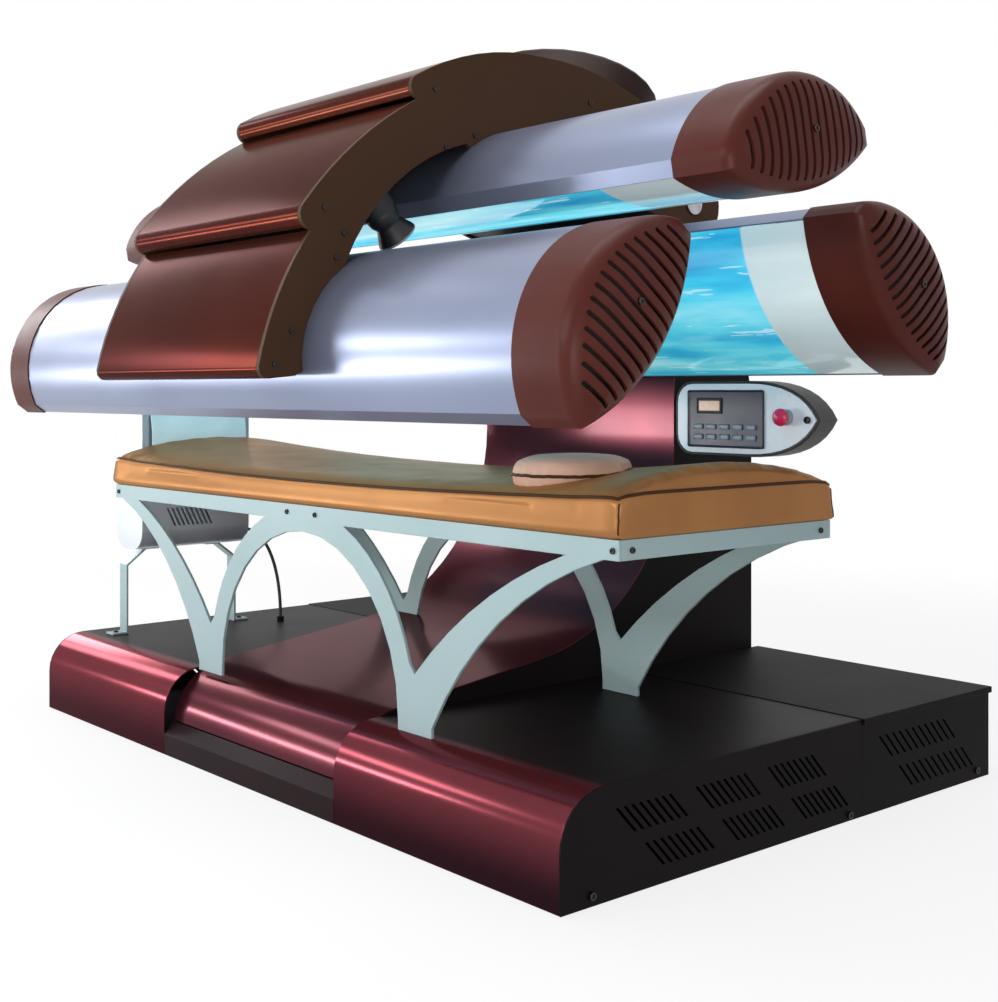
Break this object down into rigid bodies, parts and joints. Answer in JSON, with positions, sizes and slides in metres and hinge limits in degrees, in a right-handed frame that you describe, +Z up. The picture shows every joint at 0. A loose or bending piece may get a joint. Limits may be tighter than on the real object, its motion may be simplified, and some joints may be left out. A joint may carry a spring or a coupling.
{
  "type": "clamshell tanning bed",
  "caption": "Clamshell tanning bed: padded couch on arched legs, hinged canopy arch with lamp banks, fixed rear bank, foot lamp and control pod on a wide base.",
  "frame": {"origin": "centre of the base's footprint, on the floor", "axes": "+X along the couch towards the pillow end, +Y towards the column at the back, +Z up"},
  "size_m": [2.5166, 1.621, 1.8611],
  "materials": {
    "burgundy": "gloss metallic paint",
    "dark_panel": "satin paint",
    "bronze": "metallic paint",
    "cap_brown": "satin moulding",
    "silver": "silver paint on sheet aluminium",
    "clear": "clear acrylic sheet",
    "mirror": "polished sheet",
    "lamp_white": "coated tube",
    "frame_steel": "pale powder coat",
    "vinyl": "upholstery vinyl",
    "pillow_vinyl": "upholstery vinyl",
    "plywood": "bare plywood",
    "bare_steel": "ground shaft",
    "black_plastic": "fine grain",
    "pod_silver": "pearl silver",
    "red_plastic": "gloss",
    "grey_plastic": "gloss",
    "rubber": "matt cable jacket"
  },
  "bodies": {
    "base": {"base_pan": "dark_panel", "base_cover_left": "burgundy", "base_end_left": "burgundy", "rear_box_left": "burgundy", "rear_lid_left": "burgundy", "base_cover_right": "burgundy", "base_end_right": "burgundy", "rear_box_right": "burgundy", "rear_lid_right": "burgundy", "centre_plinth": "dark_panel", "column_back": "burgundy", "column_side_left": "dark_panel", "column_side_right": "dark_panel", "ramp_cover": "burgundy", "rear_shell": "silver", "rear_glass": "clear", "rear_reflector": "mirror", "rear_lamps": "lamp_white", "rear_cap_right": "cap_brown", "rear_cap_left": "cap_brown", "hinge_head": "dark_panel", "hinge_shaft": "bare_steel", "couch_frame_front": "frame_steel", "couch_frame_rear": "frame_steel", "couch_rail_foot": "frame_steel", "couch_rail_head": "frame_steel", "couch_board": "plywood", "mattress": "vinyl", "pillow": "pillow_vinyl", "foot_lamp_housing": "silver", "foot_lamp_glass": "clear", "foot_lamp_leg_front": "frame_steel", "foot_lamp_leg_rear": "frame_steel", "foot_lamp_cable": "rubber", "pod_body": "black_plastic", "pod_face": "pod_silver", "stop_collar": "grey_plastic"},
    "canopy": {"arch_plate_left": "bronze", "arch_plate_right": "bronze", "arch_cover_front": "bronze", "arch_cover_middle": "bronze", "arch_cover_top": "bronze", "arch_liner_front": "black_plastic", "arch_liner_rear": "black_plastic", "rear_cowl": "bronze", "nozzle_socket": "black_plastic", "front_shell": "silver", "front_glass": "clear", "front_reflector": "mirror", "front_lamps": "lamp_white", "front_cap_right": "cap_brown", "front_cap_left": "cap_brown", "top_shell": "silver", "top_glass": "clear", "top_reflector": "mirror", "top_lamps": "lamp_white", "top_cap_right": "cap_brown", "top_cap_left": "cap_brown"},
    "nozzle": {"air_nozzle": "black_plastic"},
    "stop": {"stop_button": "red_plastic"}
  },
  "joints": [
    {"name": "canopy_hinge", "type": "hinge", "parent": "base", "child": "canopy", "pos_m": [0, 0.45, 1.44], "axis": [-1, 0, 0], "range_deg": [0, 38]},
    {"name": "nozzle_swivel", "type": "hinge", "parent": "canopy", "child": "nozzle", "pos_m": [0.29, -0.5169, 1.3404], "axis": [1, 0, 0], "range_deg": [-20, 20]},
    {"name": "stop_press", "type": "slide", "parent": "base", "child": "stop", "axis": [0, 1, 0], "range_m": [0, 0.006], "stiffness_N_per_m": 1500, "springref_m": -0.003}
  ]
}
